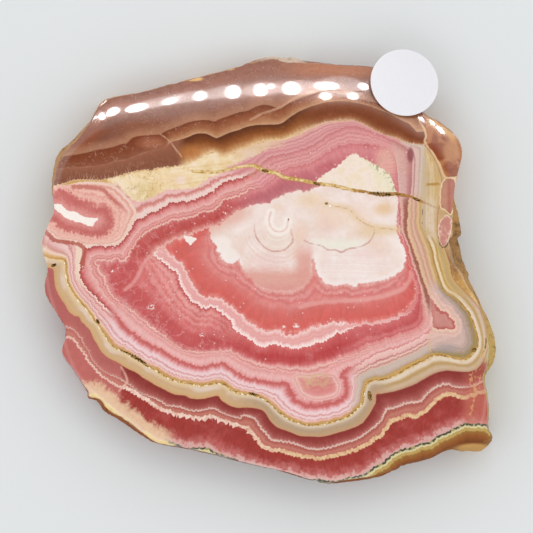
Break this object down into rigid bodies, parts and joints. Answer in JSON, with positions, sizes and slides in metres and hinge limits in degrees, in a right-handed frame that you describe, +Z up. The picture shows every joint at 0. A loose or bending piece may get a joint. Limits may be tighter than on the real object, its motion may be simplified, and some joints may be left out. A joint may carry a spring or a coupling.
{
  "type": "polished rhodochrosite slice",
  "caption": "Flat slice of banded pink rhodochrosite, polished on one face and rough round the rim, with a small round blank paper label stuck on its edge.",
  "frame": {"origin": "middle of the rectangle that the slice and its label cover, at the level of the sawn back that it rests on", "axes": "+Z up, out of the polished face; +X the long way across; +Y towards the edge where the polish rolls over and the label sits"},
  "size_m": [0.0528, 0.0504, 0.0057],
  "materials": {
    "banded_stone": "polished banded stone: dark rose, pink, cream, gold and brown growth bands; rough tan and brown rind on the sides",
    "white_paper": "smooth matte white paper"
  },
  "bodies": {
    "root": {"rhodochrosite_slice": "banded_stone", "paper_label": "white_paper"}
  },
  "joints": []
}
